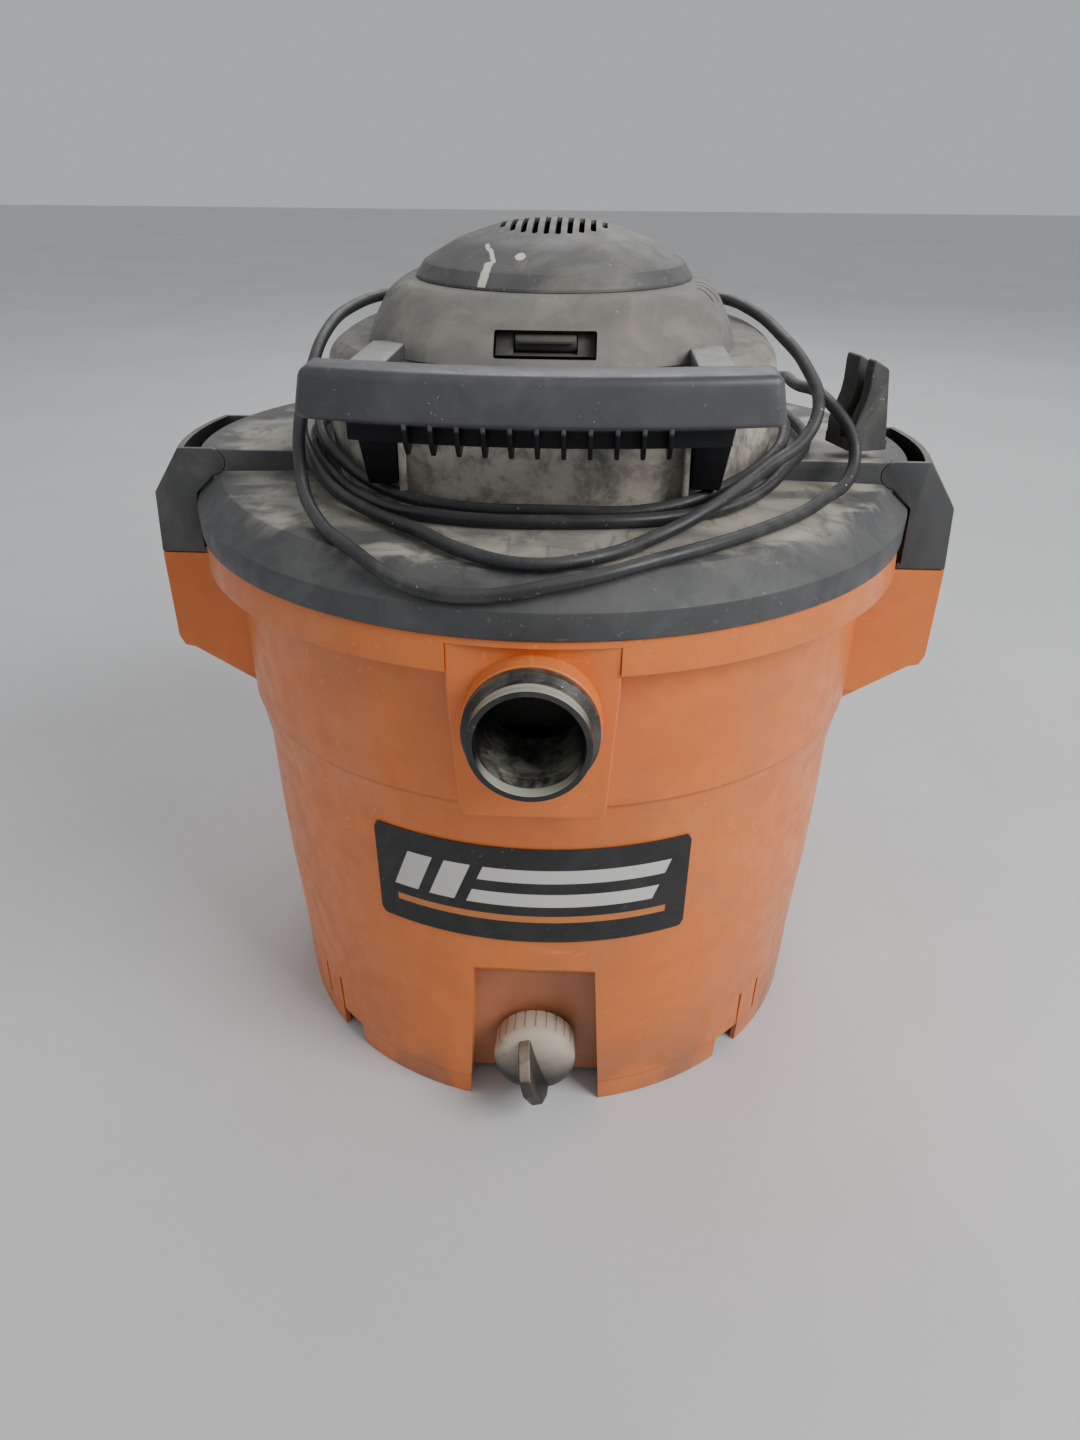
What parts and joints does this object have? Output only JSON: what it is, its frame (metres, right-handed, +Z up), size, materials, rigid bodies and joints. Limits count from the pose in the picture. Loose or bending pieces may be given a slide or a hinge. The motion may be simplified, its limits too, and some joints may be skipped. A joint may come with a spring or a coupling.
{
  "type": "shop vacuum",
  "caption": "Wet and dry shop vacuum: tapered drum with side handles and drain, latched power head with carrying handle, filter, float and a cord wound on the head.",
  "frame": {"origin": "on the floor, at the middle of the footprint and on the drum's axis", "axes": "+Z up; the hose inlet faces -Y and the exhaust port +Y; +X is the accessory holder's side"},
  "size_m": [0.533, 0.524, 0.557],
  "materials": {
    "drum_plastic": "satin moulded plastic, sun-faded",
    "head_plastic": "fine matt texture, dusty",
    "cover_plastic": "fine matt texture, dusty",
    "black_plastic": "satin",
    "label_film": "scuffed film",
    "rubber": "matt",
    "cord_jacket": "worn satin jacket",
    "steel": "turned",
    "copper": "wound and turned",
    "carbon": "pressed carbon",
    "cast_alloy": "as cast",
    "inner_plastic": "moulded",
    "float_foam": "moulded",
    "filter_paper": "pleated paper",
    "foam": "closed foam strip",
    "switch_plastic": "matte"
  },
  "bodies": {
    "drum": {"drum": "drum_plastic", "inlet_port_ring": "black_plastic", "inlet_deflector": "inner_plastic", "label_panel": "label_film"},
    "drain_seal": {"drain_seal": "rubber"},
    "drain_cap": {"drain_cap": "black_plastic"},
    "head": {"lid": "head_plastic", "lid_gasket": "foam", "motor_base": "cover_plastic", "motor_cover": "cover_plastic", "cover_screw_1": "steel", "cover_screw_2": "steel", "cover_screw_3": "steel", "cover_screw_4": "steel", "vent_cap": "cover_plastic", "carry_handle": "head_plastic", "switch_housing": "black_plastic", "accessory_holder": "head_plastic", "exhaust_port": "black_plastic", "blower_housing": "inner_plastic", "blower_plate": "steel", "motor_frame": "cast_alloy", "lower_bearing": "steel", "upper_bearing": "steel", "motor_stator": "steel", "brush_left": "carbon", "brush_right": "carbon", "end_bracket": "cast_alloy", "filter_cage": "inner_plastic", "cage_stud": "steel", "power_cord": "cord_jacket", "cord_strain_relief": "rubber", "power_plug": "rubber"},
    "latch_left": {"latch_left": "head_plastic"},
    "latch_right": {"latch_right": "head_plastic"},
    "switch_rocker": {"switch_rocker": "switch_plastic"},
    "armature": {"motor_shaft": "steel", "armature_core": "copper", "commutator": "copper", "cooling_fan": "inner_plastic", "impeller": "cast_alloy"},
    "float": {"float_cup": "float_foam"},
    "filter": {"filter_media": "filter_paper", "filter_top_seal": "rubber", "filter_end_cap": "rubber"},
    "filter_nut": {"filter_nut": "black_plastic"}
  },
  "joints": [
    {"name": "drain_seal_travel", "type": "slide", "parent": "drum", "child": "drain_seal", "axis": [0, -1, 0], "range_m": [0, 0.012]},
    {"name": "drain_cap_turn", "type": "hinge", "parent": "drain_seal", "child": "drain_cap", "pos_m": [0, -0.192, 0.0385], "axis": [0, -1, 0], "range_deg": [0, 1080]},
    {"name": "head_lift", "type": "slide", "parent": "drum", "child": "head", "axis": [0, 0, 1], "range_m": [0, 0.3]},
    {"name": "latch_left_turn", "type": "hinge", "parent": "head", "child": "latch_left", "pos_m": [-0.2185, 0, 0.415], "axis": [0, 1, 0], "range_deg": [0, 38]},
    {"name": "latch_right_turn", "type": "hinge", "parent": "head", "child": "latch_right", "pos_m": [0.2185, 0, 0.415], "axis": [0, -1, 0], "range_deg": [0, 38]},
    {"name": "switch_press", "type": "hinge", "parent": "head", "child": "switch_rocker", "pos_m": [0, -0.1085, 0.5008], "axis": [1, 0, 0], "range_deg": [0, 30]},
    {"name": "armature_spin", "type": "hinge", "parent": "head", "child": "armature", "pos_m": [0, 0, 0.47], "axis": [0, 0, 1], "continuous": true},
    {"name": "float_rise", "type": "slide", "parent": "head", "child": "float", "axis": [0, 0, 1], "range_m": [0, 0.085]},
    {"name": "filter_removal", "type": "slide", "parent": "head", "child": "filter", "axis": [0, 0, -1], "range_m": [0, 0.15]},
    {"name": "filter_nut_turn", "type": "hinge", "parent": "filter", "child": "filter_nut", "pos_m": [0, 0, 0.225], "axis": [0, 0, 1], "continuous": true}
  ],
  "couplings": [
    {"joint": "drain_seal_travel", "follows": "drain_cap_turn", "m_per_rad": 0.000636}
  ]
}
